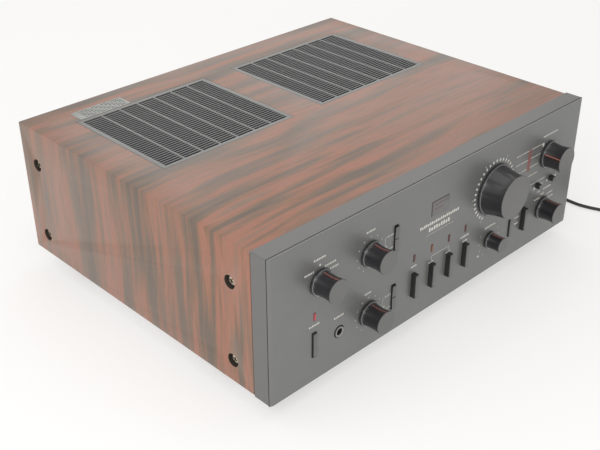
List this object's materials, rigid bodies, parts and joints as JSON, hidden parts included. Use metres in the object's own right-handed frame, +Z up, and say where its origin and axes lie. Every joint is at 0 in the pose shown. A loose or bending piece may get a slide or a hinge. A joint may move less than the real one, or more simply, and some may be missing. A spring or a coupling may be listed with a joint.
{
  "type": "integrated amplifier",
  "caption": "Full-width integrated amplifier: wood-veneer cabinet, charcoal front with turning knobs, push bars and rockers, two top vents, rear terminals and mains lead.",
  "frame": {"origin": "centre of the amplifier's own box, without the mains lead, on the surface its feet stand on", "axes": "+X to the right seen from the front, +Y from the front panel to the rear, +Z up"},
  "size_m": [0.5725, 0.5432, 0.158],
  "materials": {
    "knob_black": "satin black with a grey face",
    "shaft_aluminium": "turned",
    "chassis_steel": "zinc-plated sheet",
    "switch_black": "satin black with a grey face",
    "bronze_screw": "dark bronze plating",
    "wood_veneer": "rosewood-look veneer, satin, grain runs left to right and down the sides",
    "circuit_board": "board",
    "capacitor_sleeve": "dark blue sleeve",
    "foot_plastic": "moulded black",
    "charcoal_panel": "satin charcoal grey, slightly glossy",
    "jack_nickel": "nickel-plated",
    "heatsink_black": "black anodised",
    "lens_red": "dull red lens",
    "terminal_plastic": "moulded black",
    "cord_black": "matt black sleeve",
    "plug_black": "moulded black",
    "transformer_core": "black varnished steel",
    "rear_black": "matt black paint",
    "grille_grey": "satin dark grey paint"
  },
  "bodies": {
    "amplifier": {"base_tray": "chassis_steel", "cabinet_screw_left_1": "bronze_screw", "cabinet_screw_left_2": "bronze_screw", "cabinet_screw_left_3": "bronze_screw", "cabinet_screw_left_4": "bronze_screw", "cabinet_screw_right_1": "bronze_screw", "cabinet_screw_right_2": "bronze_screw", "cabinet_screw_right_3": "bronze_screw", "cabinet_screw_right_4": "bronze_screw", "cabinet_shell": "wood_veneer", "control_board": "circuit_board", "filter_capacitor_left": "capacitor_sleeve", "filter_capacitor_right": "capacitor_sleeve", "foot_front_left": "foot_plastic", "foot_front_right": "foot_plastic", "foot_rear_left": "foot_plastic", "foot_rear_right": "foot_plastic", "front_frame": "charcoal_panel", "front_panel": "charcoal_panel", "front_subpanel": "chassis_steel", "headphone_jack": "jack_nickel", "heatsink_left": "heatsink_black", "heatsink_right": "heatsink_black", "indicator_lenses": "lens_red", "input_jack_strip": "terminal_plastic", "main_board": "circuit_board", "mains_lead": "cord_black", "mains_lead_coil": "cord_black", "mains_plug": "plug_black", "power_transformer": "transformer_core", "rear_panel": "rear_black", "speaker_terminals": "terminal_plastic", "strain_relief": "cord_black", "vent_grille_left": "grille_grey", "vent_grille_right": "grille_grey"},
    "body_speakers_knob": {"speakers_knob": "knob_black", "speakers_shaft": "shaft_aluminium"},
    "body_treble_knob": {"treble_knob": "knob_black", "treble_shaft": "shaft_aluminium"},
    "body_bass_knob": {"bass_knob": "knob_black", "bass_shaft": "shaft_aluminium"},
    "body_volume_knob": {"volume_knob": "knob_black", "volume_shaft": "shaft_aluminium"},
    "body_balance_knob": {"balance_knob": "knob_black", "balance_shaft": "shaft_aluminium"},
    "body_input_knob": {"input_knob": "knob_black", "input_shaft": "shaft_aluminium"},
    "body_record_knob": {"record_knob": "knob_black", "record_shaft": "shaft_aluminium"},
    "body_power_bar": {"power_bar": "switch_black"},
    "body_subsonic_bar": {"subsonic_bar": "switch_black"},
    "body_high_filter_bar": {"high_filter_bar": "switch_black"},
    "body_tone_defeat_bar": {"tone_defeat_bar": "switch_black"},
    "body_loudness_bar": {"loudness_bar": "switch_black"},
    "body_muting_bar": {"muting_bar": "switch_black"},
    "body_mode_bar": {"mode_bar": "switch_black"},
    "body_treble_turnover": {"treble_turnover_rocker": "switch_black"},
    "body_bass_turnover": {"bass_turnover_rocker": "switch_black"},
    "body_tape_button_left": {"tape_button_left": "switch_black"},
    "body_tape_button_right": {"tape_button_right": "switch_black"}
  },
  "joints": [
    {"name": "speakers_turn", "type": "hinge", "parent": "amplifier", "child": "body_speakers_knob", "pos_m": [-0.1588, -0.1814, 0.1135], "axis": [0, 1, 0], "range_deg": [-30, 60]},
    {"name": "treble_turn", "type": "hinge", "parent": "amplifier", "child": "body_treble_knob", "pos_m": [-0.0993, -0.1814, 0.1135], "axis": [0, 1, 0], "range_deg": [-140, 140]},
    {"name": "bass_turn", "type": "hinge", "parent": "amplifier", "child": "body_bass_knob", "pos_m": [-0.0993, -0.1814, 0.0528], "axis": [0, 1, 0], "range_deg": [-140, 140]},
    {"name": "volume_turn", "type": "hinge", "parent": "amplifier", "child": "body_volume_knob", "pos_m": [0.0737, -0.1814, 0.108], "axis": [0, 1, 0], "range_deg": [0, 300]},
    {"name": "balance_turn", "type": "hinge", "parent": "amplifier", "child": "body_balance_knob", "pos_m": [0.074, -0.1814, 0.0528], "axis": [0, 1, 0], "range_deg": [-140, 140]},
    {"name": "input_turn", "type": "hinge", "parent": "amplifier", "child": "body_input_knob", "pos_m": [0.1622, -0.1814, 0.1141], "axis": [0, 1, 0], "range_deg": [-50, 70]},
    {"name": "record_turn", "type": "hinge", "parent": "amplifier", "child": "body_record_knob", "pos_m": [0.1635, -0.1814, 0.0528], "axis": [0, 1, 0], "range_deg": [-60, 60]},
    {"name": "power_push", "type": "slide", "parent": "amplifier", "child": "body_power_bar", "axis": [0, 1, 0], "range_m": [-0.0034, 0]},
    {"name": "subsonic_push", "type": "slide", "parent": "amplifier", "child": "body_subsonic_bar", "axis": [0, 1, 0], "range_m": [0, 0.0034]},
    {"name": "high_filter_push", "type": "slide", "parent": "amplifier", "child": "body_high_filter_bar", "axis": [0, 1, 0], "range_m": [0, 0.0034]},
    {"name": "tone_defeat_push", "type": "slide", "parent": "amplifier", "child": "body_tone_defeat_bar", "axis": [0, 1, 0], "range_m": [0, 0.0034]},
    {"name": "loudness_push", "type": "slide", "parent": "amplifier", "child": "body_loudness_bar", "axis": [0, 1, 0], "range_m": [0, 0.0034]},
    {"name": "muting_push", "type": "slide", "parent": "amplifier", "child": "body_muting_bar", "axis": [0, 1, 0], "range_m": [-0.0034, 0]},
    {"name": "mode_push", "type": "slide", "parent": "amplifier", "child": "body_mode_bar", "axis": [0, 1, 0], "range_m": [0, 0.0034]},
    {"name": "treble_turnover_rock", "type": "hinge", "parent": "amplifier", "child": "body_treble_turnover", "pos_m": [-0.0671, -0.1654, 0.1144], "axis": [1, 0, 0], "range_deg": [-4, 4]},
    {"name": "bass_turnover_rock", "type": "hinge", "parent": "amplifier", "child": "body_bass_turnover", "pos_m": [-0.0671, -0.1654, 0.0542], "axis": [1, 0, 0], "range_deg": [-4, 4]},
    {"name": "tape_button_left_push", "type": "slide", "parent": "amplifier", "child": "body_tape_button_left", "axis": [0, 1, 0], "range_m": [0, 0.0025]},
    {"name": "tape_button_right_push", "type": "slide", "parent": "amplifier", "child": "body_tape_button_right", "axis": [0, 1, 0], "range_m": [0, 0.0025]}
  ]
}
